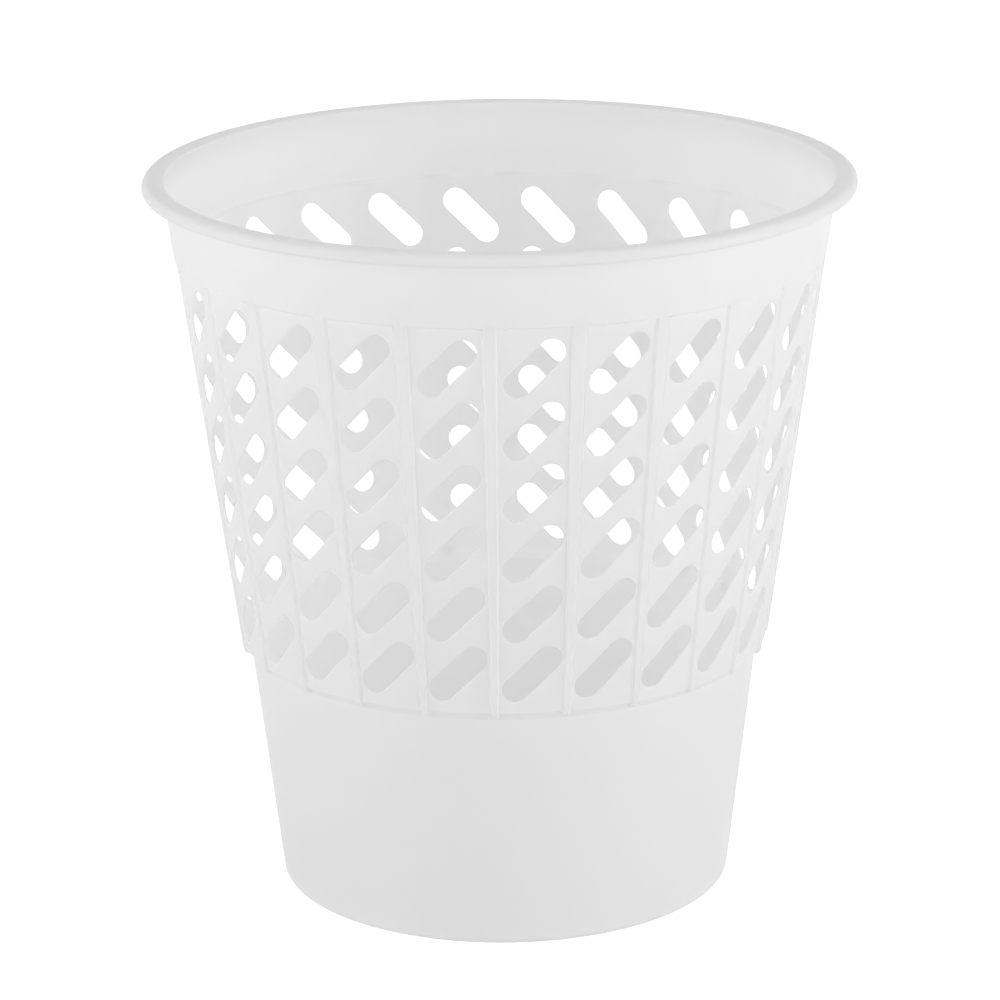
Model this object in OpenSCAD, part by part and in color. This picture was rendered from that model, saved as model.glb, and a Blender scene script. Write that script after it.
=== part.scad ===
// Slotted wastebasket: a round, open-topped basket moulded in one white plastic.
// Upright on z = 0, centred on the Z axis, with one rib on the -Y side.
// From the top down: a turned-over rim, a plain band, a grille of slotted panels
// between raised ribs, a shoulder that steps inwards, a plain lower wall, and a
// base that stands on a foot ring round a raised floor.
// The regions of the moulding are separate solids that meet face to face.

/* [Overall] */
// Height from the standing surface to the top of the rim
height = 300; // [260:1:360]
// Outer diameter that the band and the ribs would have at the full height
mouth_d = 275; // [250:0.5:320]
// Outer diameter over the ribs at the bottom of the grille
hip_d = 221; // [212:0.2:250]
// Outer diameter of the lower wall at the standing surface
base_d = 187; // [160:0.2:200]
// Thickness of every wall
wall = 1; // [0.8:0.1:1.6]

/* [Rim] */
// How far the rim stands out beyond the mouth
rim_reach = 7.7; // [5:0.1:14]
// Height of the turned-over rim
rim_h = 5.2; // [5.2:0.1:9]
// Thickness of the rim's top
rim_top_t = 1.6; // [1.4:0.1:2.4]
// Thickness of the rim's hanging skirt, whose lower end is round
rim_skirt_t = 3; // [2:0.1:3.4]
// Radius of the rim's outer top edge
rim_edge_r = 3.4; // [2:0.1:3.4]
// Radius of the rim's inner top edge
rim_lip_r = 1.2; // [0.4:0.1:1.3]

/* [Grille] */
// Height of the grille's bottom edge
grille_z = 105; // [90:1:130]
// Height of the band's lower edge
band_z = 268.5; // [266:0.5:280]
// Number of slotted panels, and of ribs
bays = 24; // [22:1:26]
// How far the panels lie behind the band and the ribs
recess = 1; // [0.6:0.1:1.6]
// Height of the slanted step from the band to the panels
band_step_h = 0.8; // [0.6:0.1:3.5]
// Height of the shoulder under the grille
shoulder_h = 3.8; // [2.5:0.1:6]
// How far the wall steps in at the shoulder
shoulder_in = 3.9; // [2:0.1:6]

/* [Ribs] */
// Width of a rib's foot at the band
rib_top_w = 6.8; // [5:0.1:9]
// Width of a rib's foot at the bottom of the grille
rib_bottom_w = 4; // [3.8:0.1:5]
// Width of each slanted side of a rib
rib_flank_w = 1; // [0.6:0.05:1.3]
// How far a rib runs down over the shoulder
rib_drop = 2; // [0.5:0.1:2.2]

/* [Slots] */
// Rows of slots
slot_rows = 6; // [1:1:6]
// Length of a slot
slot_l = 29.5; // [16:0.5:30]
// Width of a slot
slot_w = 10.7; // [4:0.1:11]
// Angle of a slot to the horizontal, rising to the right from outside
slot_tilt = 45; // [30:1:60]
// Height between two rows of slots
slot_pitch = 25.9; // [24:0.1:26.5]
// Height from the band's lower edge down to the middle of the top row
slot_margin = 17.1; // [16:0.1:18]

/* [Base] */
// Radius of the edge round the base
base_edge_r = 3.2; // [2:0.1:5]
// Thickness of the floor and of the foot ring
floor_t = 1.5; // [1.2:0.1:1.8]
// Width of the foot ring's flat standing face
foot_w = 8; // [4:0.5:16]
// Height of the floor's underside over the standing surface
floor_gap = 2.5; // [1:0.1:4]

/* [Hidden] */
$fn = 96;
// Facets of the round surfaces that only the ribs are cut from
fine = 720;
pitch_angle = 360 / bays;
// Room between a bend in the wall and the joint of the two pieces beside it
bend_room = 1.5;
// Overlap of a cutter past the surface that it cuts
cut = 1;
// How far a rib's flanks run on behind the panels' surface, and out past its top
rib_seat = 0.1;
rib_over = 0.2;
plastic = [0.93, 0.93, 0.92];

// Heights where the pieces meet
rim_joint_z = height - rim_top_t;
band_joint_z = band_z - band_step_h;
grille_joint_z = grille_z + bend_room;
shoulder_z = grille_z - shoulder_h;
shoulder_joint_z = shoulder_z - bend_room;
// Outer radius of the lower wall just under the shoulder
waist_r = hip_d / 2 - recess - shoulder_in;
foot_joint_z = base_edge_r + floor_t;
// Rise of the inner corner of a wall that bends by 45 degrees
bend_rise = wall * tan(22.5);
// Height of the small ledge inside, behind the band's slanted step
ledge_z = band_z - band_step_h / 2;
ledge_h = recess / 2;
// Radii of the base edge's centre, of the standing face's inner edge and of the floor
edge_centre_r = lower_r(base_edge_r) - base_edge_r;
foot_inner_r = edge_centre_r - foot_w;
floor_r = foot_inner_r - floor_gap;

RING_NODES = ["rim", "upper_band", "shoulder_ring", "lower_wall", "foot_ring", "base_floor"];

function numbered(name, i) = str(name, i < 10 ? "_0" : "_", i);

// Outer radius of the band and the ribs at height z
function skin_r(z) = hip_d / 2 + (mouth_d - hip_d) / 2 * (z - grille_z) / (height - grille_z);

// Outer radius of the panels at height z
function panel_r(z) = skin_r(z) - recess;

// Outer radius of the lower wall at height z
function lower_r(z) = base_d / 2 + (waist_r - base_d / 2) * z / shoulder_z;

// Width of a rib's foot at height z
function rib_w(z) = rib_bottom_w + (rib_top_w - rib_bottom_w) * (z - grille_z) / (band_z - grille_z);

// Points on an arc about [x, y] from one angle to another
function arc(x, y, r, from, to, steps = 6) =
    [for (i = [0:steps]) let (a = from + (to - from) * i / steps) [x + r * cos(a), y + r * sin(a)]];

// The rim: a flat top with rounded edges, and a skirt that hangs clear of the band
module rim() {
    outer_r = mouth_d / 2 + rim_reach;
    inner_r = skin_r(rim_joint_z) - wall;
    skirt_z = height - rim_h;
    skirt_end_r = rim_skirt_t / 2;
    color(plastic)
        rotate_extrude()
            polygon(concat(
                [[inner_r, rim_joint_z], [outer_r - rim_skirt_t, rim_joint_z]],
                arc(outer_r - skirt_end_r, skirt_z + skirt_end_r, skirt_end_r, 180, 360),
                arc(outer_r - rim_edge_r, height - rim_edge_r, rim_edge_r, 0, 90),
                arc(inner_r + rim_lip_r, height - rim_lip_r, rim_lip_r, 90, 180)
            ));
}

// The plain band under the rim, with a slanted step to the panels at its lower edge
module upper_band() {
    color(plastic)
        rotate_extrude()
            polygon([
                [panel_r(band_joint_z) - wall, band_joint_z],
                [panel_r(band_joint_z), band_joint_z],
                [skin_r(band_z), band_z],
                [skin_r(rim_joint_z), rim_joint_z],
                [skin_r(rim_joint_z) - wall, rim_joint_z],
                [skin_r(ledge_z + ledge_h) - wall, ledge_z + ledge_h],
                [panel_r(ledge_z) - wall, ledge_z]
            ]);
}

// A slot's outline: a bar with round ends
module slot_outline() {
    straight = slot_l - slot_w;
    square([straight, slot_w], center = true);
    for (side = [-1, 1])
        translate([side * straight / 2, 0])
            circle(d = slot_w);
}

// The cutters for one panel's column of slots, facing -Y
module slot_column() {
    for (row = [0:slot_rows - 1])
        translate([0, 0, band_z - slot_margin - row * slot_pitch])
            rotate([90, 0, 0])
                linear_extrude(height = mouth_d)
                    rotate(slot_tilt)
                        slot_outline();
}

// One slotted panel: a strip of the wall from the middle of one rib to the next
module slotted_panel(i) {
    color(plastic)
        rotate(pitch_angle * (i - 1))
            difference() {
                rotate(-90)
                    rotate_extrude(angle = pitch_angle)
                        polygon([
                            [panel_r(grille_joint_z) - wall, grille_joint_z],
                            [panel_r(grille_joint_z), grille_joint_z],
                            [panel_r(band_joint_z), band_joint_z],
                            [panel_r(band_joint_z) - wall, band_joint_z]
                        ]);
                rotate(pitch_angle / 2)
                    slot_column();
            }
}

// The wall behind the ribs, as a solid. Its facets are fine, because a rib is thin
module wall_core() {
    rotate_extrude($fn = fine)
        polygon([
            [0, shoulder_joint_z],
            [lower_r(shoulder_joint_z), shoulder_joint_z],
            [lower_r(shoulder_z), shoulder_z],
            [panel_r(grille_z), grille_z],
            [panel_r(band_joint_z), band_joint_z],
            [skin_r(band_z), band_z],
            [0, band_z]
        ]);
}

// The space inside the band's and the ribs' outer surface, over the ribs' height
module skin_core() {
    low_z = grille_z - rib_drop;
    rotate_extrude($fn = fine)
        polygon([[0, low_z], [skin_r(low_z), low_z], [skin_r(band_z), band_z], [0, band_z]]);
}

// A rib's bar on the -Y side: slanted flanks, narrower towards the bottom, and
// straight sides inside the wall, deep enough to reach the shoulder
module rib_bar() {
    run = rib_flank_w / recess;
    root = cut + rib_drop * shoulder_in / shoulder_h;
    // The six corners of the bar's section at height z
    function section(z) =
        let (
            root_w = rib_w(z) / 2 + run * rib_seat,
            top_w = rib_w(z) / 2 - run * (recess + rib_over),
            seat_y = rib_seat - panel_r(z),
            root_y = root - panel_r(z),
            top_y = -panel_r(z) - recess - rib_over
        )
        [
            [-root_w, root_y, z],
            [root_w, root_y, z],
            [root_w, seat_y, z],
            [top_w, top_y, z],
            [-top_w, top_y, z],
            [-root_w, seat_y, z]
        ];
    corners = 6;
    polyhedron(
        points = concat(section(grille_z - rib_drop - cut), section(band_z + cut)),
        faces = concat(
            [[for (k = [corners - 1:-1:0]) k], [for (k = [0:corners - 1]) corners + k]],
            [for (k = [0:corners - 1])
                let (next = (k + 1) % corners)
                [next, corners + next, corners + k, k]]
        )
    );
}

// One raised rib on the joint of two panels, running down over the shoulder
module rib(i) {
    color(plastic)
        rotate(pitch_angle * (i - 1))
            difference() {
                intersection() {
                    skin_core();
                    rib_bar();
                }
                wall_core();
            }
}

// The shoulder: the bend from the grille in to the lower wall
module shoulder_ring() {
    color(plastic)
        rotate_extrude()
            polygon([
                [lower_r(shoulder_joint_z), shoulder_joint_z],
                [lower_r(shoulder_z), shoulder_z],
                [panel_r(grille_z), grille_z],
                [panel_r(grille_joint_z), grille_joint_z],
                [panel_r(grille_joint_z) - wall, grille_joint_z],
                [panel_r(grille_z) - wall, grille_z + bend_rise],
                [lower_r(shoulder_z) - wall, shoulder_z + bend_rise],
                [lower_r(shoulder_joint_z) - wall, shoulder_joint_z]
            ]);
}

// The plain lower wall
module lower_wall() {
    color(plastic)
        rotate_extrude()
            polygon([
                [lower_r(foot_joint_z) - wall, foot_joint_z],
                [lower_r(foot_joint_z), foot_joint_z],
                [lower_r(shoulder_joint_z), shoulder_joint_z],
                [lower_r(shoulder_joint_z) - wall, shoulder_joint_z]
            ]);
}

// The foot ring: a channel that carries the basket, with a rounded outer edge
// and a slanted inner side up to the floor
module foot_ring() {
    corner = floor_t * tan(22.5);
    color(plastic)
        rotate_extrude()
            polygon(concat(
                [[floor_r, floor_gap], [foot_inner_r, 0]],
                arc(edge_centre_r, base_edge_r, base_edge_r, 270, 360),
                [
                    [lower_r(foot_joint_z), foot_joint_z],
                    [lower_r(foot_joint_z) - wall, foot_joint_z],
                    [edge_centre_r + base_edge_r - floor_t, base_edge_r]
                ],
                [
                    [edge_centre_r, floor_t],
                    [foot_inner_r + corner, floor_t],
                    [floor_r + corner, floor_gap + floor_t],
                    [floor_r, floor_gap + floor_t]
                ]
            ));
}

// The raised floor inside the foot ring
module base_floor() {
    color(plastic)
        translate([0, 0, floor_gap])
            cylinder(r = floor_r, h = floor_t);
}

rim();
upper_band();
shoulder_ring();
lower_wall();
foot_ring();
base_floor();
for (i = [1:bays]) {
    slotted_panel(i);
    rib(i);
}
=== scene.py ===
import math

import bpy
import numpy as np
from mathutils import Matrix, Vector


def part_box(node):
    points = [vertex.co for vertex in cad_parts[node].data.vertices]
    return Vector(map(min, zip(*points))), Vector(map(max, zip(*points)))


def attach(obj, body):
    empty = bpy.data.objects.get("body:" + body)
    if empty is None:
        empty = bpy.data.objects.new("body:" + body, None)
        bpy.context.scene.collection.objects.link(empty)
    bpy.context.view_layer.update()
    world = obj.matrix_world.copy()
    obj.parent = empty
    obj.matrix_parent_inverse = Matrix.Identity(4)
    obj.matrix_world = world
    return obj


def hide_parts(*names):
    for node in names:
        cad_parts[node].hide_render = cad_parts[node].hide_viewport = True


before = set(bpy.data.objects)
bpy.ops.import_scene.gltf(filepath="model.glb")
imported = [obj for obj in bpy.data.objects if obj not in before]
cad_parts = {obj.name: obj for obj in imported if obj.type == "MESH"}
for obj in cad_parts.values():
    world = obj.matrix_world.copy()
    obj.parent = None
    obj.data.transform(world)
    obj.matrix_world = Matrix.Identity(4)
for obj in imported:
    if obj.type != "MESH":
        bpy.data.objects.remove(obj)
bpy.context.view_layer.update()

MM = 0.001


# ---------------------------------------------------------------------------
# Sizes of the moulding, in metres. What the frame holds is read from it.
# ---------------------------------------------------------------------------

# These, down to FOOT_W, are part.scad's. Only the rim's inner edge is shaped more finely here.
WALL = 1.0 * MM
RECESS = 1.0 * MM
RIM_SKIRT_T = 3.0 * MM
RIM_EDGE_R = 3.4 * MM
RIM_LIP_R = 0.7 * MM
BEND_ROOM = 1.5 * MM
RIB_FLANK_W = 1.0 * MM
RIB_TOP_W = 6.8 * MM
RIB_BOTTOM_W = 4.0 * MM
SLOT_L = 29.5 * MM
SLOT_W = 10.7 * MM
SLOT_TILT = math.radians(45)
SLOT_PITCH = 25.9 * MM
SLOT_MARGIN = 17.1 * MM
SLOT_ROWS = 6
BASE_EDGE_R = 3.2 * MM
FLOOR_T = 1.5 * MM
FOOT_W = 8.0 * MM

# Rounding of the small steps between the regions
STEP_R = 0.5 * MM
# Rounding of the shoulder's inner bends
BEND_R = 2.4 * MM
# The rounded edge of a slot: its width on the surface, its depth into the wall, and the most of
# the room beside the slot that it takes
SLOT_EDGE_W = 0.8 * MM
SLOT_EDGE_DEPTH = 0.45 * MM
SLOT_EDGE_SHARE = 0.6
# The rim's top falls towards its inner edge by this much, over this width, with this rounding
LIP_FALL = 0.6 * MM
LIP_FALL_W = 2.0 * MM
LIP_FALL_R = 2.5 * MM
# The rounding of the rim's hanging edge, as a share of half its thickness
SKIRT_END_SHARE = 0.999
# Height and upper rounding of the ledge inside, behind the band's lower edge
LEDGE_H = 1.5 * MM
LEDGE_R = 0.8 * MM
# The mould's gate: a shallow round recess in the middle of the floor's underside
GATE_R = 4.0 * MM
GATE_DEPTH = 0.4 * MM
GATE_EDGE_R = 0.2 * MM
# Rounding of a rib's long edges, and of its lower end seen from the side
RIB_EDGE_R = 0.3 * MM
RIB_END_R = 1.2 * MM
# A fine groove runs along each side of a rib, at its foot
GROOVE_W = 0.35 * MM
GROOVE_DEPTH = 0.4 * MM
GROOVE_R = 0.1 * MM
# How far a rib's flat top runs on over the band's rounded lower edge, and then sinks in
RIB_OVERLAP = 0.3 * MM
RIB_TUCK = 0.15 * MM
# How far a rib's back sinks into the band and the shoulder, and the least depth of its sides there
RIB_SEAT = 0.4 * MM
RIB_SIDE_DEPTH = 0.05 * MM
# How far beyond a rib's foot its piece meets the panel
JOINT_ROOM = 0.06 * MM
# The wall turns by about 45 degrees at a bend, so its inner bend lies this much higher
HALF_BEND = math.radians(22.5)
BEND_RISE = WALL * math.tan(HALF_BEND)
FLOOR_RISE = FLOOR_T * math.tan(HALF_BEND)

# Numbers of steps along and round the meshes
ARC_STEPS = 5
SIDE_STEPS = 20
CELL_STEPS = 3
SLOT_EDGE_STEPS = 3
JOINT_STEPS = 4
GROOVE_STEPS = 2
EDGE_STEPS = 4
RIB_END_STEPS = 5
RIB_STRAIGHT_STEPS = 12

RIM_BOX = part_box("rim")
BAND_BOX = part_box("upper_band")
SHOULDER_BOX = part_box("shoulder_ring")
LOWER_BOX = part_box("lower_wall")
FOOT_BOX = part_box("foot_ring")
FLOOR_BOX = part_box("base_floor")
RIB_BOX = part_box("rib_01")
BAYS = sum(1 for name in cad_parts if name.startswith("slotted_panel"))
BAY_ANGLE = math.tau / BAYS
HALF_BAY = BAY_ANGLE / 2

HEIGHT = RIM_BOX[1].z
RIM_R = RIM_BOX[1].x
RIM_SKIRT_Z = RIM_BOX[0].z
RIM_JOINT_Z = BAND_BOX[1].z
BAND_JOINT_Z = BAND_BOX[0].z
BAND_Z = RIB_BOX[1].z
GRILLE_JOINT_Z = SHOULDER_BOX[1].z
GRILLE_Z = GRILLE_JOINT_Z - BEND_ROOM
RIB_LOW_Z = RIB_BOX[0].z
SHOULDER_JOINT_Z = SHOULDER_BOX[0].z
SHOULDER_Z = SHOULDER_JOINT_Z + BEND_ROOM
FOOT_JOINT_Z = FOOT_BOX[1].z
FLOOR_GAP = FLOOR_BOX[0].z
FLOOR_R = FLOOR_BOX[1].x


def line_through(z0, r0, z1, r1):
    """The radius at height z on the straight line through two points, and its slope."""
    slope = (r1 - r0) / (z1 - z0)
    return (lambda z: r0 + slope * (z - z0)), slope


skin_r, SKIN_SLOPE = line_through(
    GRILLE_JOINT_Z, SHOULDER_BOX[1].x + RECESS, RIM_JOINT_Z, BAND_BOX[1].x)
lower_r, _ = line_through(
    FOOT_JOINT_Z, FOOT_BOX[1].x, SHOULDER_JOINT_Z, LOWER_BOX[1].x)


def panel_r(z):
    """Outer radius of the panels at height z."""
    return skin_r(z) - RECESS


def rib_w(z):
    """Width of a rib's foot at height z."""
    share = (z - GRILLE_Z) / (BAND_Z - GRILLE_Z)
    return RIB_BOTTOM_W + (RIB_TOP_W - RIB_BOTTOM_W) * share


# ---------------------------------------------------------------------------
# Meshes with exact normals
# ---------------------------------------------------------------------------

# Points are told apart to this many steps in a metre
POINT_STEPS = 1e8
# Where a face's first three corners span less than this, in square metres, the last one is used
TINY_AREA = 1e-14
# Stands in for the length of a normal that has none
LEAST_LENGTH = 1e-20


class Skin:
    """Collects faces whose corners carry their own normals, and shares equal points.

    joints says of each face whether it is a hidden one, where the piece meets a neighbour.
    """

    def __init__(self):
        self.index = {}
        self.points = []
        self.faces = []
        self.normals = []
        self.joints = []

    def vertex(self, point):
        """The number of a point, which is added if it is new."""
        key = tuple(round(c * POINT_STEPS) for c in point)
        if key not in self.index:
            self.index[key] = len(self.points)
            self.points.append(tuple(point))
        return self.index[key]

    def face(self, points, normals, joint=False):
        """A face from its corners, anticlockwise from outside. Corners that meet are dropped."""
        corners = []
        for point, normal in zip(points, normals):
            number = self.vertex(point)
            if number not in [c[0] for c in corners]:
                corners.append((number, normal))
        if len(corners) >= 3:
            self.faces.append([c[0] for c in corners])
            self.normals.extend(c[1] for c in corners)
            self.joints.append(joint)

    def flat(self, points, joint=False):
        """A flat face, whose normal is its own."""
        a, b, c = (np.array(p) for p in (points[0], points[1], points[2]))
        if np.linalg.norm(np.cross(b - a, c - a)) < TINY_AREA:
            b, c = c, np.array(points[-1])
        normal = np.cross(b - a, c - a)
        normal = tuple(normal / max(np.linalg.norm(normal), LEAST_LENGTH))
        self.face(points, [normal] * len(points), joint)

    def grid(self, points, normals=None, closed=False, joint=False):
        """Quads between rows of points. Outside is where rows run up and columns run right."""
        columns = len(points[0])
        for row in range(len(points) - 1):
            for column in range(columns if closed else columns - 1):
                following = (column + 1) % columns
                at = [(row, column), (row, following), (row + 1, following), (row + 1, column)]
                corners = [points[r][c] for r, c in at]
                if normals is None:
                    self.flat(corners, joint)
                else:
                    self.face(corners, [normals[r][c] for r, c in at], joint)

    def arrays(self):
        """The points, faces, corner normals and joint marks, for make_piece."""
        return np.array(self.points), self.faces, np.array(self.normals), self.joints


def unit(vector):
    """The same direction with length 1."""
    return vector / np.linalg.norm(vector)


# ---------------------------------------------------------------------------
# Rings: a closed section of straight lines and rounded corners, turned about Z
# ---------------------------------------------------------------------------

# A little longer than the wall is thick
LONGEST_JOINT = 1.01 * WALL


def turn_between(before, after):
    """The angle by which a way turns left, from one direction to the next."""
    return math.atan2(before[0] * after[1] - before[1] * after[0], np.dot(before, after))


def rounded_corner(start, corner, end, radius, steps):
    """Points (x, y, normal x, normal y) round a corner, with the outside on the way's right."""
    before = unit(np.subtract(corner, start))
    after = unit(np.subtract(end, corner))
    turn = turn_between(before, after)
    side = 1 if turn > 0 else -1
    normal = np.array([before[1], -before[0]])
    centre = corner - before * radius * math.tan(abs(turn) / 2) - side * radius * normal
    arc = []
    for n in range(steps + 1):
        cos, sin = math.cos(turn * n / steps), math.sin(turn * n / steps)
        turned_normal = np.array([normal[0] * cos - normal[1] * sin,
                                  normal[0] * sin + normal[1] * cos])
        arc.append((*(centre + side * radius * turned_normal), *turned_normal))
    return arc


def rounded_section(corners):
    """Smooth runs of (r, z, normal r, normal z) along a closed section.

    Each corner is (r, z, radius). The section runs anticlockwise, with r to the right and z up.
    A corner with no radius ends a run, so that its edge stays sharp.
    """
    count = len(corners)
    at = [np.array(c[:2]) for c in corners]
    along = [unit(at[(k + 1) % count] - at[k]) for k in range(count)]
    runs, run = [], []
    first = next(k for k in range(count) if corners[k][2] == 0)
    for step in range(count):
        k = (first + step) % count
        before, after = along[k - 1], along[k]
        radius = corners[k][2]
        if radius == 0:
            if run:
                run.append((*at[k], before[1], -before[0]))
                runs.append(run)
            run = [(*at[k], after[1], -after[0])]
            continue
        turn = turn_between(before, after)
        steps = max(1, round(ARC_STEPS * abs(turn) / (math.pi / 2)))
        run += rounded_corner(at[k - 1], at[k], at[(k + 1) % count], radius, steps)
    run.append((*at[first], along[first - 1][1], -along[first - 1][0]))
    runs.append(run)
    return runs


def ring(corners, angles):
    """A section turned about Z through the given angles, as a closed skin.

    A straight run no longer than the wall is thick is a joint with the next ring.
    """
    skin = Skin()
    for run in rounded_section(corners):
        joint = len(run) == 2 and math.dist(run[0][:2], run[1][:2]) < LONGEST_JOINT
        points, normals = [], []
        for r, z, normal_r, normal_z in run:
            points.append([(r * math.cos(a), r * math.sin(a), z) for a in angles])
            normals.append(
                [(normal_r * math.cos(a), normal_r * math.sin(a), normal_z) for a in angles])
        skin.grid(points, normals, closed=True, joint=joint)
    return skin.arrays()


# ---------------------------------------------------------------------------
# Slotted panels
# ---------------------------------------------------------------------------

def joint_x(z):
    """Distance from a rib's middle to its piece's joint with the panel beside it."""
    return rib_w(z) / 2 + JOINT_ROOM


def side_x(z):
    """Distance from a panel's middle to its joint with the rib's piece beside it."""
    radius = panel_r(z)
    return radius * math.sin(HALF_BAY - math.asin(joint_x(z) / radius))


def on_panel(x, z, inside, depth=0.0):
    """A point of the panel on the -Y side, and the wall's normal there.

    x runs to the right along the panel, and depth goes from the surface into the wall.
    """
    radius = panel_r(z) - (WALL if inside else 0.0)
    y = math.sqrt(radius * radius - x * x)
    tilt = math.hypot(1, SKIN_SLOPE)
    normal = np.array([x / radius, -y / radius, -SKIN_SLOPE]) / tilt
    if inside:
        normal = -normal
        depth = -depth
    return (x, -(y - depth), z), normal


def slot_hit(angle, radius):
    """Where a ray from a slot's middle meets the slot's outline with ends of that radius.

    Returns the point (x, z) and the outline's outward normal (x, z).
    """
    half = (SLOT_L - SLOT_W) / 2
    cos, sin = math.cos(angle - SLOT_TILT), math.sin(angle - SLOT_TILT)
    if abs(sin) * half <= radius * abs(cos):
        reach = half * abs(cos) + math.sqrt(radius ** 2 - (half * sin) ** 2)
        end = math.copysign(half, cos)
        normal = ((reach * cos - end) / radius, reach * sin / radius)
    else:
        reach = radius / abs(sin)
        normal = (0.0, math.copysign(1.0, sin))
    tilt_cos, tilt_sin = math.cos(SLOT_TILT), math.sin(SLOT_TILT)
    point = (reach * math.cos(angle), reach * math.sin(angle))
    normal = (normal[0] * tilt_cos - normal[1] * tilt_sin,
              normal[0] * tilt_sin + normal[1] * tilt_cos)
    return point, normal


def cell_border(low_z, high_z):
    """Points (x, z) round a cell, clockwise from its upper right corner."""
    border = []
    shares = [k / SIDE_STEPS for k in range(SIDE_STEPS)]
    for share in shares:
        z = high_z + (low_z - high_z) * share
        border.append((side_x(z), z))
    for share in shares:
        border.append((side_x(low_z) * (1 - 2 * share), low_z))
    for share in shares:
        z = low_z + (high_z - low_z) * share
        border.append((-side_x(z), z))
    for share in shares:
        border.append((side_x(high_z) * (2 * share - 1), high_z))
    return border


def edge_width(angle, middle_z):
    """Width of a slot's rounded edge, which is narrow where the slot nears the panel's side."""
    (x, z), _ = slot_hit(angle, SLOT_W / 2)
    return min(SLOT_EDGE_W, SLOT_EDGE_SHARE * (side_x(middle_z + z) - abs(x)))


def slot_cell(skin, low_z, high_z):
    """The wall round one slot: inner face, rounded edges, the slot's own wall, outer face."""
    middle_z = (low_z + high_z) / 2
    border = cell_border(low_z, high_z)
    angles = [math.atan2(z - middle_z, x) for x, z in border]
    widths = [edge_width(angle, middle_z) for angle in angles]
    rings, normals = [], []

    def face_rings(inside, order):
        """Rings on a face of the wall, from the cell's border in towards the slot."""
        for step in order:
            share = step / CELL_STEPS
            points, directions = [], []
            for (x, z), angle, width in zip(border, angles, widths):
                (hit_x, hit_z), _ = slot_hit(angle, SLOT_W / 2 + width)
                at_x = x + (hit_x - x) * share
                at_z = z + (middle_z + hit_z - z) * share
                point, normal = on_panel(at_x, at_z, inside)
                points.append(point)
                directions.append(normal)
            rings.append(points)
            normals.append(directions)

    def edge_rings(inside, order):
        """Rings round a rounded edge, from the wall's face down into the slot."""
        for step in order:
            bend = math.pi / 2 * step / SLOT_EDGE_STEPS
            points, directions = [], []
            for angle, width in zip(angles, widths):
                offset = width * (1 - math.sin(bend))
                full_depth = min(width, SLOT_EDGE_DEPTH)
                depth = full_depth * (1 - math.cos(bend))
                lean, face = full_depth * math.sin(bend), width * math.cos(bend)
                (x, z), out = slot_hit(angle, SLOT_W / 2 + offset)
                point, normal = on_panel(x, middle_z + z, inside, depth)
                wall_normal = np.array([-out[0], 0.0, -out[1]])
                points.append(point)
                directions.append(unit(normal * face + wall_normal * lean))
            rings.append(points)
            normals.append(directions)

    face_rings(True, range(CELL_STEPS))
    edge_rings(True, range(SLOT_EDGE_STEPS + 1))
    edge_rings(False, range(SLOT_EDGE_STEPS, -1, -1))
    face_rings(False, range(CELL_STEPS - 1, -1, -1))
    skin.grid(rings, normals, closed=True)


def panel_heights():
    """Heights where the panel's plain strips and its cells meet."""
    top = BAND_Z - SLOT_MARGIN + SLOT_PITCH / 2
    return [top - SLOT_PITCH * k for k in range(SLOT_ROWS + 1)]


def across(z, inside):
    """Points across the panel from side to side at height z, and their normals."""
    side = side_x(z)
    both = [on_panel(side * (2 * k / SIDE_STEPS - 1), z, inside) for k in range(SIDE_STEPS + 1)]
    return [b[0] for b in both], [b[1] for b in both]


def slotted_panel():
    """One panel on the -Y side: plain strips above and below six slotted cells."""
    skin = Skin()
    heights = panel_heights()
    for low_z, high_z in zip(heights[1:], heights):
        slot_cell(skin, low_z, high_z)
    for low_z, high_z in ((GRILLE_JOINT_Z, heights[-1]), (heights[0], BAND_JOINT_Z)):
        for inside in (False, True):
            rows = [across(z, inside) for z in (low_z, high_z)]
            if inside:
                rows = rows[::-1]
            skin.grid([r[0] for r in rows], [r[1] for r in rows])
    # The hidden faces, where the panel meets its neighbours
    zs = [GRILLE_JOINT_Z, heights[-1]]
    for low_z in reversed(heights[1:]):
        zs += [low_z + SLOT_PITCH * k / SIDE_STEPS for k in range(1, SIDE_STEPS + 1)]
    zs.append(BAND_JOINT_Z)
    outer = [across(z, False)[0] for z in zs]
    inner = [across(z, True)[0] for z in zs]
    skin.grid([[i[0], o[0]] for i, o in zip(inner, outer)], joint=True)
    skin.grid([[o[-1], i[-1]] for i, o in zip(inner, outer)], joint=True)
    skin.grid([inner[0], outer[0]], joint=True)
    skin.grid([outer[-1], inner[-1]], joint=True)
    return skin.arrays()


def joint_angles(z):
    """Angles of the points that rings share with the panels and ribs at height z."""
    points, _ = across(z, False)
    one = [math.atan2(p[1], p[0]) + HALF_BAY for p in points]
    gap = one[0] + BAY_ANGLE - one[-1]
    one += [one[-1] + gap * k / JOINT_STEPS for k in range(1, JOINT_STEPS)]
    return [a + BAY_ANGLE * k for k in range(BAYS) for a in one]


# ---------------------------------------------------------------------------
# Ribs
# ---------------------------------------------------------------------------

# Keeps the rounded lower end's tip, which faces straight down, from a slope without end
TIP_ROOM = 1.0001


def end_share(z):
    """How far down a rib's rounded lower end height z is: 0 where it starts, 1 at its tip."""
    return min(1.0, max(0.0, (RIB_LOW_Z + RIB_END_R - z) / RIB_END_R))


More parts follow.
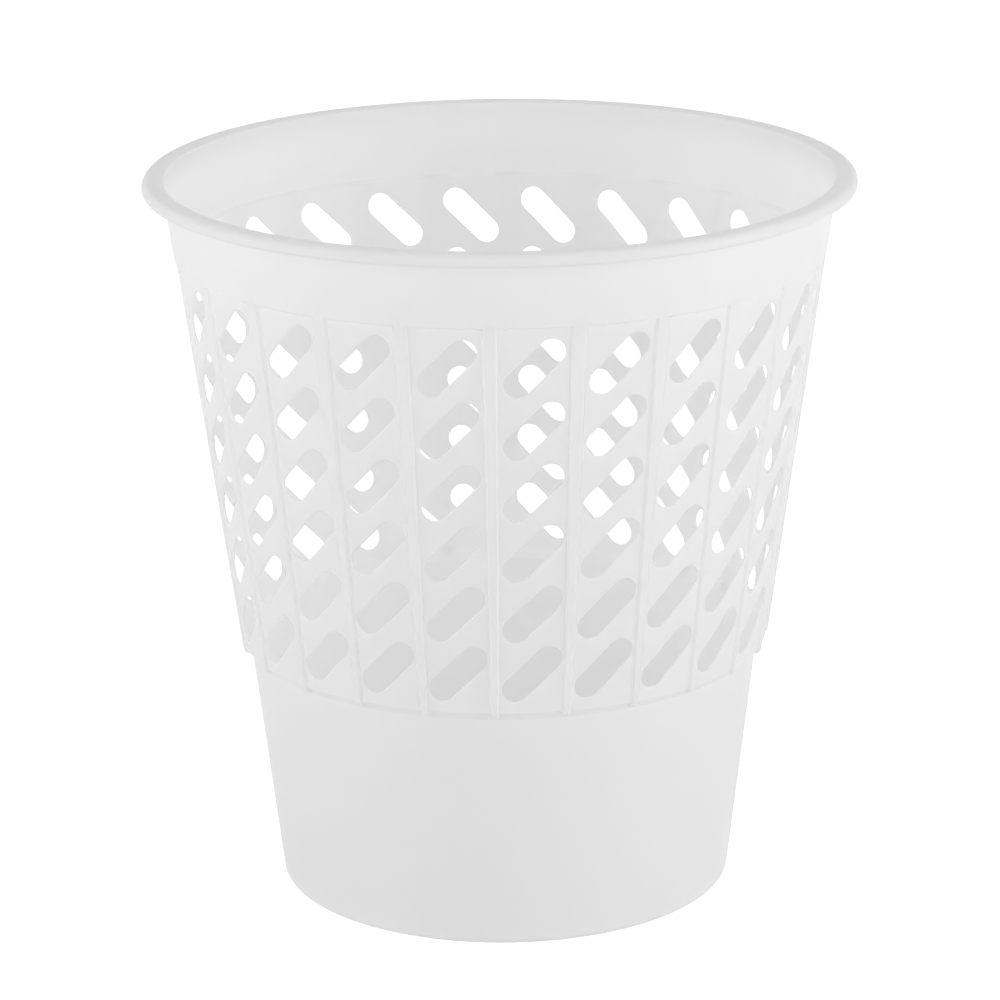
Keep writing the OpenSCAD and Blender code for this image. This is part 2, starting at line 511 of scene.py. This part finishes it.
def half_profile(z):
    """Points (x, h) and normals of a rib's right half, from its joint in to its flat top.

    h is the height over the panels' surface.
    """
    drop = RIB_END_R * (1 - math.sqrt(1 - end_share(z) ** 2))
    top = RECESS - drop - max(0.0, z - BAND_Z - RIB_OVERLAP)
    foot = rib_w(z) / 2
    corners = [(joint_x(z), 0.0), (foot, 0.0), (foot - GROOVE_W, -GROOVE_DEPTH),
               (foot - RIB_FLANK_W, top), (0.0, top)]
    rounding = ((GROOVE_R, GROOVE_STEPS), (GROOVE_R, GROOVE_STEPS), (RIB_EDGE_R, EDGE_STEPS))
    points = []
    for k, (radius, steps) in enumerate(rounding):
        points += rounded_corner(*corners[k:k + 3], radius, steps)
    return [(*corners[0], *points[0][2:]), *points]


def sink_sides(points, back):
    """Turns a rib's sides straight down to its back, where no panel lies beside it."""
    turn = 2 * (GROOVE_STEPS + 1)
    x, h, normal_x, normal_h = points[turn]
    low = max(h, back + RIB_SIDE_DEPTH)
    x -= (low - h) * (RIB_FLANK_W - GROOVE_W) / (RECESS + GROOVE_DEPTH)
    return [(x, back, 1.0, 0.0)] * turn + [(x, low, normal_x, normal_h)] + points[turn + 1:]


def rib_back(z, joined):
    """Height of a rib's back over the panels' surface: the wall's inner face, or inside it."""
    if joined:
        return -WALL
    if z > GRILLE_JOINT_Z:
        return RIB_SEAT * min(1.0, 2 * (z - BAND_JOINT_Z) / (BAND_Z - BAND_JOINT_Z) - 1)
    share = max(0.0, GRILLE_Z - z) / (GRILLE_Z - SHOULDER_Z)
    shoulder_r = panel_r(max(z, GRILLE_Z)) + (lower_r(SHOULDER_Z) - panel_r(GRILLE_Z)) * share
    return shoulder_r - panel_r(z) - RIB_SEAT


def rib_row(z, joined):
    """The front points, their normals and the back points of a rib's section at height z."""
    back = rib_back(z, joined)
    right = half_profile(z)
    if not joined:
        right = sink_sides(right, back)
    left = [(-x, h, -normal_x, normal_h) for x, h, normal_x, normal_h in right]
    lean = -SKIN_SLOPE - end_share(z) / math.sqrt(TIP_ROOM - end_share(z) ** 2)
    back_r = panel_r(z) + back
    # The joint faces stand square to the panels, so the back is narrower than the front
    narrowing = 1.0
    if joined:
        narrowing = back_r * math.sin(HALF_BAY - math.asin(side_x(z) / back_r)) / joint_x(z)
    front, normals, behind = [], [], []
    for x, h, normal_x, normal_h in left + right[::-1]:
        radius = panel_r(z) + h
        y = math.sqrt(radius ** 2 - x ** 2)
        radial = unit(np.array([x / radius, -y / radius, lean]))
        front.append((x, -y, z))
        normals.append(unit(np.array([normal_x, 0, 0]) + normal_h * radial))
        back_x = x * narrowing
        behind.append((back_x, -math.sqrt(back_r ** 2 - back_x ** 2), z))
    return front, normals, behind


def inward(point):
    """The inner wall's normal at a point."""
    x, y, _ = point
    return unit(np.array([-x, -y, SKIN_SLOPE * math.hypot(x, y)]))


def rib():
    """One rib on the -Y side with the wall behind it, from its rounded lower end to the band."""
    skin = Skin()
    ends = [RIB_LOW_Z + RIB_END_R * (1 - math.cos(math.pi / 2 * k / RIB_END_STEPS))
            for k in range(RIB_END_STEPS + 1)]
    low = [rib_row(z, False) for z in (*ends, GRILLE_Z, GRILLE_JOINT_Z)]
    rise = (BAND_JOINT_Z - GRILLE_JOINT_Z) / RIB_STRAIGHT_STEPS
    straight = [rib_row(GRILLE_JOINT_Z + rise * k, True) for k in range(RIB_STRAIGHT_STEPS + 1)]
    tops = (BAND_JOINT_Z, BAND_Z, BAND_Z + RIB_OVERLAP, BAND_Z + RIB_OVERLAP + RIB_TUCK)
    high = [rib_row(z, False) for z in tops]
    for rows in (low, straight, high):
        skin.grid([r[0] for r in rows], [r[1] for r in rows])
        behind = [r[2] for r in reversed(rows)]
        skin.grid(behind, [[inward(point) for point in row] for row in behind],
                  joint=rows is not straight)
        skin.grid([[r[2][0], r[0][0]] for r in rows], joint=rows is straight)
        skin.grid([[r[0][-1], r[2][-1]] for r in rows], joint=rows is straight)
    # The hidden ends, inside the shoulder and the band
    skin.grid([low[0][2], low[0][0]])
    skin.grid([high[-1][0], high[-1][2]])
    # The steps from the parts that lie on a ring to the part between two panels
    for under, over in ((low[-1], straight[0]), (straight[-1], high[0])):
        skin.grid([under[0], over[0]])
        skin.grid([over[2], under[2]], joint=True)
        skin.grid([[r[2][0], r[0][0]] for r in (under, over)], joint=True)
        skin.grid([[r[0][-1], r[2][-1]] for r in (under, over)], joint=True)
    return skin.arrays()


# ---------------------------------------------------------------------------
# Material
# ---------------------------------------------------------------------------

# Share of the light that the plastic's surface lets through, in the thin wall and in the rim
THROUGH_SHARE = 0.47
RIM_THROUGH_SHARE = 0.4
PLASTIC_IOR = 1.49
PLASTIC_SPECULAR = 0.35
# The grey and the roughness change a little from cloud to cloud: least and most, and noise scale
TONES = (0.915, 0.935)
TONE_SCALE = 14.0
ROUGHNESSES = (0.4, 0.48)
GLOSS_SCALE = 60.0
# The mould's fine grain: noise scale, strength and height
GRAIN_SCALE = 2200.0
GRAIN_STRENGTH = 0.12
GRAIN_H = 0.05 * MM


def white_plastic(name, through_share):
    """Satin white polypropylene: fine moulded grain, faint clouds in its gloss."""
    material = bpy.data.materials.new(name)
    material.use_nodes = True
    nodes, links = material.node_tree.nodes, material.node_tree.links
    shader = nodes["Principled BSDF"]
    shader.inputs["IOR"].default_value = PLASTIC_IOR
    shader.inputs["Specular IOR Level"].default_value = PLASTIC_SPECULAR
    place = nodes.new("ShaderNodeTexCoord")

    def noise(scale, detail):
        node = nodes.new("ShaderNodeTexNoise")
        node.inputs["Scale"].default_value = scale
        node.inputs["Detail"].default_value = detail
        links.new(place.outputs["Object"], node.inputs["Vector"])
        return node.outputs["Fac"]

    def ramp(source, low, high):
        node = nodes.new("ShaderNodeMapRange")
        node.inputs["To Min"].default_value = low
        node.inputs["To Max"].default_value = high
        links.new(source, node.inputs["Value"])
        return node.outputs["Result"]

    tone = nodes.new("ShaderNodeMix")
    tone.data_type = "RGBA"
    for socket, level in zip("AB", TONES):
        tone.inputs[socket].default_value = (level, level, level, 1)
    links.new(noise(TONE_SCALE, detail=3.0), tone.inputs["Factor"])
    links.new(tone.outputs["Result"], shader.inputs["Base Color"])
    links.new(ramp(noise(GLOSS_SCALE, detail=4.0), *ROUGHNESSES), shader.inputs["Roughness"])
    grain = nodes.new("ShaderNodeBump")
    grain.inputs["Strength"].default_value = GRAIN_STRENGTH
    grain.inputs["Distance"].default_value = GRAIN_H
    links.new(noise(GRAIN_SCALE, detail=2.0), grain.inputs["Height"])
    links.new(grain.outputs["Normal"], shader.inputs["Normal"])
    # Some light passes through the thin wall
    through = nodes.new("ShaderNodeBsdfTranslucent")
    links.new(tone.outputs["Result"], through.inputs["Color"])
    both = nodes.new("ShaderNodeMixShader")
    both.inputs["Fac"].default_value = through_share
    links.new(shader.outputs[0], both.inputs[1])
    links.new(through.outputs[0], both.inputs[2])
    links.new(both.outputs[0], nodes["Material Output"].inputs["Surface"])
    return material


def clear_joint():
    """For the hidden faces between pieces: the real moulding runs on there, and so does light."""
    material = bpy.data.materials.new("clear_joint")
    material.use_nodes = True
    nodes, links = material.node_tree.nodes, material.node_tree.links
    nodes.remove(nodes["Principled BSDF"])
    through = nodes.new("ShaderNodeBsdfTransparent")
    links.new(through.outputs[0], nodes["Material Output"].inputs["Surface"])
    return material


# ---------------------------------------------------------------------------
# The pieces
# ---------------------------------------------------------------------------

PLASTIC = white_plastic("white_plastic", THROUGH_SHARE)
RIM_PLASTIC = white_plastic("white_plastic_rim", RIM_THROUGH_SHARE)
CLEAR_JOINT = clear_joint()
UPPER_ANGLES = joint_angles(BAND_JOINT_Z)
LOWER_ANGLES = joint_angles(GRILLE_JOINT_Z)


def make_piece(name, points, faces, normals, joints, material, nodes):
    """A shown piece that rides on the root body and stands for its CAD nodes."""
    mesh = bpy.data.meshes.new(name)
    mesh.from_pydata([tuple(p) for p in points], [], faces)
    mesh.polygons.foreach_set("use_smooth", [True] * len(faces))
    mesh.normals_split_custom_set([tuple(n) for n in normals])
    mesh.materials.append(material)
    mesh.materials.append(CLEAR_JOINT)
    mesh.polygons.foreach_set("material_index", [int(joint) for joint in joints])
    mesh.update()
    piece = bpy.data.objects.new(name, mesh)
    bpy.context.scene.collection.objects.link(piece)
    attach(piece, "root")
    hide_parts(*nodes)


def turned(points, angle):
    """Points or directions turned about the Z axis."""
    cos, sin = math.cos(angle), math.sin(angle)
    matrix = np.array([[cos, sin, 0], [-sin, cos, 0], [0, 0, 1]])
    return points @ matrix


def build_rim():
    """The turned-over rim, whose top falls a little towards the mouth."""
    inner = skin_r(RIM_JOINT_Z) - WALL
    groove = RIM_R - RIM_SKIRT_T
    end_r = RIM_SKIRT_T / 2 * SKIRT_END_SHARE
    corners = [
        (inner, RIM_JOINT_Z, 0),
        (inner + WALL, RIM_JOINT_Z, 0),
        (groove, RIM_JOINT_Z, 0),
        (groove, RIM_SKIRT_Z, end_r),
        (RIM_R, RIM_SKIRT_Z, end_r),
        (RIM_R, HEIGHT, RIM_EDGE_R),
        (inner + LIP_FALL_W, HEIGHT, LIP_FALL_R),
        (inner, HEIGHT - LIP_FALL, RIM_LIP_R),
    ]
    make_piece("rim_moulding", *ring(corners, UPPER_ANGLES), RIM_PLASTIC, ["rim"])


def build_upper_band():
    """The plain band, with its step down to the panels and the ledge behind that."""
    ledge_z = (BAND_Z + BAND_JOINT_Z) / 2
    corners = [
        (panel_r(BAND_JOINT_Z) - WALL, BAND_JOINT_Z, 0),
        (panel_r(BAND_JOINT_Z), BAND_JOINT_Z, 0),
        (skin_r(BAND_Z), BAND_Z, STEP_R),
        (skin_r(RIM_JOINT_Z), RIM_JOINT_Z, 0),
        (skin_r(RIM_JOINT_Z) - WALL, RIM_JOINT_Z, 0),
        (skin_r(ledge_z + LEDGE_H) - WALL, ledge_z + LEDGE_H, LEDGE_R),
        (panel_r(ledge_z) - WALL, ledge_z, STEP_R / 2),
    ]
    make_piece("upper_band_moulding", *ring(corners, UPPER_ANGLES), PLASTIC, ["upper_band"])


def build_shoulder():
    """The two bends between the grille and the lower wall."""
    corners = [
        (lower_r(SHOULDER_JOINT_Z), SHOULDER_JOINT_Z, 0),
        (lower_r(SHOULDER_Z), SHOULDER_Z, STEP_R),
        (panel_r(GRILLE_Z), GRILLE_Z, STEP_R),
        (panel_r(GRILLE_JOINT_Z), GRILLE_JOINT_Z, 0),
        (panel_r(GRILLE_JOINT_Z) - WALL, GRILLE_JOINT_Z, 0),
        (panel_r(GRILLE_Z) - WALL, GRILLE_Z + BEND_RISE, BEND_R),
        (lower_r(SHOULDER_Z) - WALL, SHOULDER_Z + BEND_RISE, BEND_R),
        (lower_r(SHOULDER_JOINT_Z) - WALL, SHOULDER_JOINT_Z, 0),
    ]
    make_piece("shoulder_moulding", *ring(corners, LOWER_ANGLES), PLASTIC, ["shoulder_ring"])


def build_lower_wall():
    """The plain wall between the shoulder and the foot."""
    corners = [
        (lower_r(FOOT_JOINT_Z) - WALL, FOOT_JOINT_Z, 0),
        (lower_r(FOOT_JOINT_Z), FOOT_JOINT_Z, 0),
        (lower_r(SHOULDER_JOINT_Z), SHOULDER_JOINT_Z, 0),
        (lower_r(SHOULDER_JOINT_Z) - WALL, SHOULDER_JOINT_Z, 0),
    ]
    make_piece("lower_wall_moulding", *ring(corners, LOWER_ANGLES), PLASTIC, ["lower_wall"])


def build_foot():
    """The rounded base corner, the flat ring that the basket stands on, and the rise inside it."""
    edge_r = lower_r(BASE_EDGE_R)
    foot_inner_r = edge_r - BASE_EDGE_R - FOOT_W
    corners = [
        (FLOOR_R, FLOOR_GAP, 0),
        (foot_inner_r, 0, STEP_R),
        (lower_r(0), 0, BASE_EDGE_R),
        (lower_r(FOOT_JOINT_Z), FOOT_JOINT_Z, 0),
        (lower_r(FOOT_JOINT_Z) - WALL, FOOT_JOINT_Z, 0),
        (edge_r - FLOOR_T, FLOOR_T, BASE_EDGE_R / 2),
        (foot_inner_r + FLOOR_RISE, FLOOR_T, STEP_R),
        (FLOOR_R + FLOOR_RISE, FLOOR_GAP + FLOOR_T, STEP_R / 2),
        (FLOOR_R, FLOOR_GAP + FLOOR_T, 0),
    ]
    make_piece("foot_moulding", *ring(corners, LOWER_ANGLES), PLASTIC, ["foot_ring"])


def build_floor():
    """The floor, with the mould's gate in the middle of its underside."""
    low, high = FLOOR_GAP, FLOOR_GAP + FLOOR_T
    corners = [
        (0, low + GATE_DEPTH, 0),
        (GATE_R, low + GATE_DEPTH, GATE_EDGE_R),
        (GATE_R + GATE_DEPTH, low, GATE_EDGE_R),
        (FLOOR_R, low, 0),
        (FLOOR_R, high, 0),
        (0, high, 0),
    ]
    make_piece("floor_moulding", *ring(corners, LOWER_ANGLES), PLASTIC, ["base_floor"])


def build_grille():
    """All panels and ribs, each a turned copy of the one on the -Y side."""
    panel = slotted_panel()
    bar = rib()
    for bay in range(BAYS):
        number = f"{bay + 1:02d}"
        for prefix, node, (points, faces, normals, joints), angle in (
                ("panel_moulding_", "slotted_panel_", panel, BAY_ANGLE * (bay + 0.5)),
                ("rib_moulding_", "rib_", bar, BAY_ANGLE * bay)):
            make_piece(prefix + number, turned(points, angle), faces, turned(normals, angle),
                       joints, PLASTIC, [node + number])


build_rim()
build_upper_band()
build_shoulder()
build_lower_wall()
build_foot()
build_floor()
build_grille()


# ---------------------------------------------------------------------------
# Stage, light and camera
# ---------------------------------------------------------------------------

# Strength of the sky's light at the horizon and overhead
SKY_LOW = 0.95
SKY_TOP = 0.05
# The floor's own grey, and the glow that is added where it is seen, which makes it white
FLOOR_GREY = 0.72
FLOOR_GLOW = 0.86
FLOOR_HALF = 3.0
# How far the floor lies below the standing surface
FLOOR_DROP = 0.05 * MM
# Softboxes that face the basket's middle: name, place, width, height and power in watts
LAMPS = [
    ("left", (-1.65, -0.45, 0.35), 1.0, 1.2, 9),
    ("right", (1.65, -0.45, 0.35), 1.0, 1.2, 11),
    ("front", (0, -1.9, 0.5), 1.2, 1.0, 6),
    ("top", (0, 0, 2.2), 1.2, 1.2, 7.5),
]
# The camera, fitted to the photographed basket: metres, radians, and millimetres for its lens
CAMERA_DISTANCE = 1.7838
CAMERA_H = 0.7016
CAMERA_AZIMUTH = math.radians(1.868)
CAMERA_PITCH = 0.2947
CAMERA_YAW = -0.0006
CAMERA_ROLL = -0.0096
CAMERA_LENS = 161.7
CAMERA_SENSOR = 36
CAMERA_FAR = 50


def seen_white(nodes, links):
    """1 for rays that show the background: from the camera, a reflection or a see-through."""
    path = nodes.new("ShaderNodeLightPath")
    total = path.outputs["Is Camera Ray"]
    for name in ("Is Glossy Ray", "Is Transmission Ray"):
        add = nodes.new("ShaderNodeMath")
        add.operation = "MAXIMUM"
        links.new(total, add.inputs[0])
        links.new(path.outputs[name], add.inputs[1])
        total = add.outputs[0]
    return total


def build_floor_stage():
    """A wide pale floor that keeps the object's shadow."""
    mesh = bpy.data.meshes.new("stage_floor")
    signs = ((-1, -1), (1, -1), (1, 1), (-1, 1))
    mesh.from_pydata([(FLOOR_HALF * x, FLOOR_HALF * y, 0) for x, y in signs], [], [(0, 1, 2, 3)])
    floor = bpy.data.objects.new("stage_floor", mesh)
    bpy.context.scene.collection.objects.link(floor)
    floor.location.z = -FLOOR_DROP
    material = bpy.data.materials.new("pale_floor")
    material.use_nodes = True
    nodes, links = material.node_tree.nodes, material.node_tree.links
    nodes.remove(nodes["Principled BSDF"])
    diffuse = nodes.new("ShaderNodeBsdfDiffuse")
    diffuse.inputs["Color"].default_value = (FLOOR_GREY, FLOOR_GREY, FLOOR_GREY, 1)
    glow_strength = nodes.new("ShaderNodeMath")
    glow_strength.operation = "MULTIPLY"
    glow_strength.inputs[1].default_value = FLOOR_GLOW
    links.new(seen_white(nodes, links), glow_strength.inputs[0])
    glow = nodes.new("ShaderNodeEmission")
    links.new(glow_strength.outputs[0], glow.inputs["Strength"])
    both = nodes.new("ShaderNodeAddShader")
    links.new(diffuse.outputs[0], both.inputs[0])
    links.new(glow.outputs[0], both.inputs[1])
    links.new(both.outputs[0], nodes["Material Output"].inputs["Surface"])
    mesh.materials.append(material)


def build_world():
    """A soft studio: white where it is seen, and light that comes mostly from the sides."""
    world = bpy.data.worlds.new("studio")
    bpy.context.scene.world = world
    world.use_nodes = True
    nodes, links = world.node_tree.nodes, world.node_tree.links
    background = nodes["Background"]
    background.inputs["Color"].default_value = (1, 1, 1, 1)
    place = nodes.new("ShaderNodeTexCoord")
    split = nodes.new("ShaderNodeSeparateXYZ")
    links.new(place.outputs["Generated"], split.inputs["Vector"])
    by_height = nodes.new("ShaderNodeMapRange")
    by_height.inputs["To Min"].default_value = SKY_LOW
    by_height.inputs["To Max"].default_value = SKY_TOP
    links.new(split.outputs["Z"], by_height.inputs["Value"])
    strength = nodes.new("ShaderNodeMix")
    strength.inputs["B"].default_value = 1.0
    links.new(seen_white(nodes, links), strength.inputs["Factor"])
    links.new(by_height.outputs["Result"], strength.inputs["A"])
    links.new(strength.outputs["Result"], background.inputs["Strength"])


def area_light(name, at, target, width, height, power):
    """A rectangular lamp at one place that faces another."""
    light = bpy.data.lights.new(name, "AREA")
    light.shape = "RECTANGLE"
    light.size = width
    light.size_y = height
    light.energy = power
    lamp = bpy.data.objects.new(name, light)
    bpy.context.scene.collection.objects.link(lamp)
    lamp.location = at
    direction = Vector(target) - Vector(at)
    lamp.rotation_euler = direction.to_track_quat("-Z", "Y").to_euler()


def build_lights():
    """The softboxes round and over the basket."""
    for name, place, width, height, power in LAMPS:
        area_light(name, place, (0, 0, HEIGHT / 2), width, height, power)


def build_camera():
    """A long lens, a little above the basket and turned slightly off the front rib."""
    camera = bpy.data.cameras.new("camera")
    camera.sensor_width = CAMERA_SENSOR
    camera.lens = CAMERA_LENS
    camera.clip_end = CAMERA_FAR
    eye = bpy.data.objects.new("camera", camera)
    bpy.context.scene.collection.objects.link(eye)
    level = math.cos(CAMERA_PITCH)
    forward = Vector((math.sin(CAMERA_YAW) * level, math.cos(CAMERA_YAW) * level,
                      -math.sin(CAMERA_PITCH)))
    right = Vector((math.cos(CAMERA_YAW), -math.sin(CAMERA_YAW), 0))
    up = right.cross(forward)
    right_rolled = math.cos(CAMERA_ROLL) * right + math.sin(CAMERA_ROLL) * up
    up_rolled = -math.sin(CAMERA_ROLL) * right + math.cos(CAMERA_ROLL) * up
    axes = Matrix((right_rolled, up_rolled, -forward)).transposed().to_4x4()
    place = Matrix.Translation((0, -CAMERA_DISTANCE, CAMERA_H)) @ axes
    eye.matrix_world = Matrix.Rotation(CAMERA_AZIMUTH, 4, "Z") @ place
    bpy.context.scene.camera = eye


build_floor_stage()
build_world()
build_lights()
build_camera()
bpy.context.scene.view_settings.view_transform = "Standard"
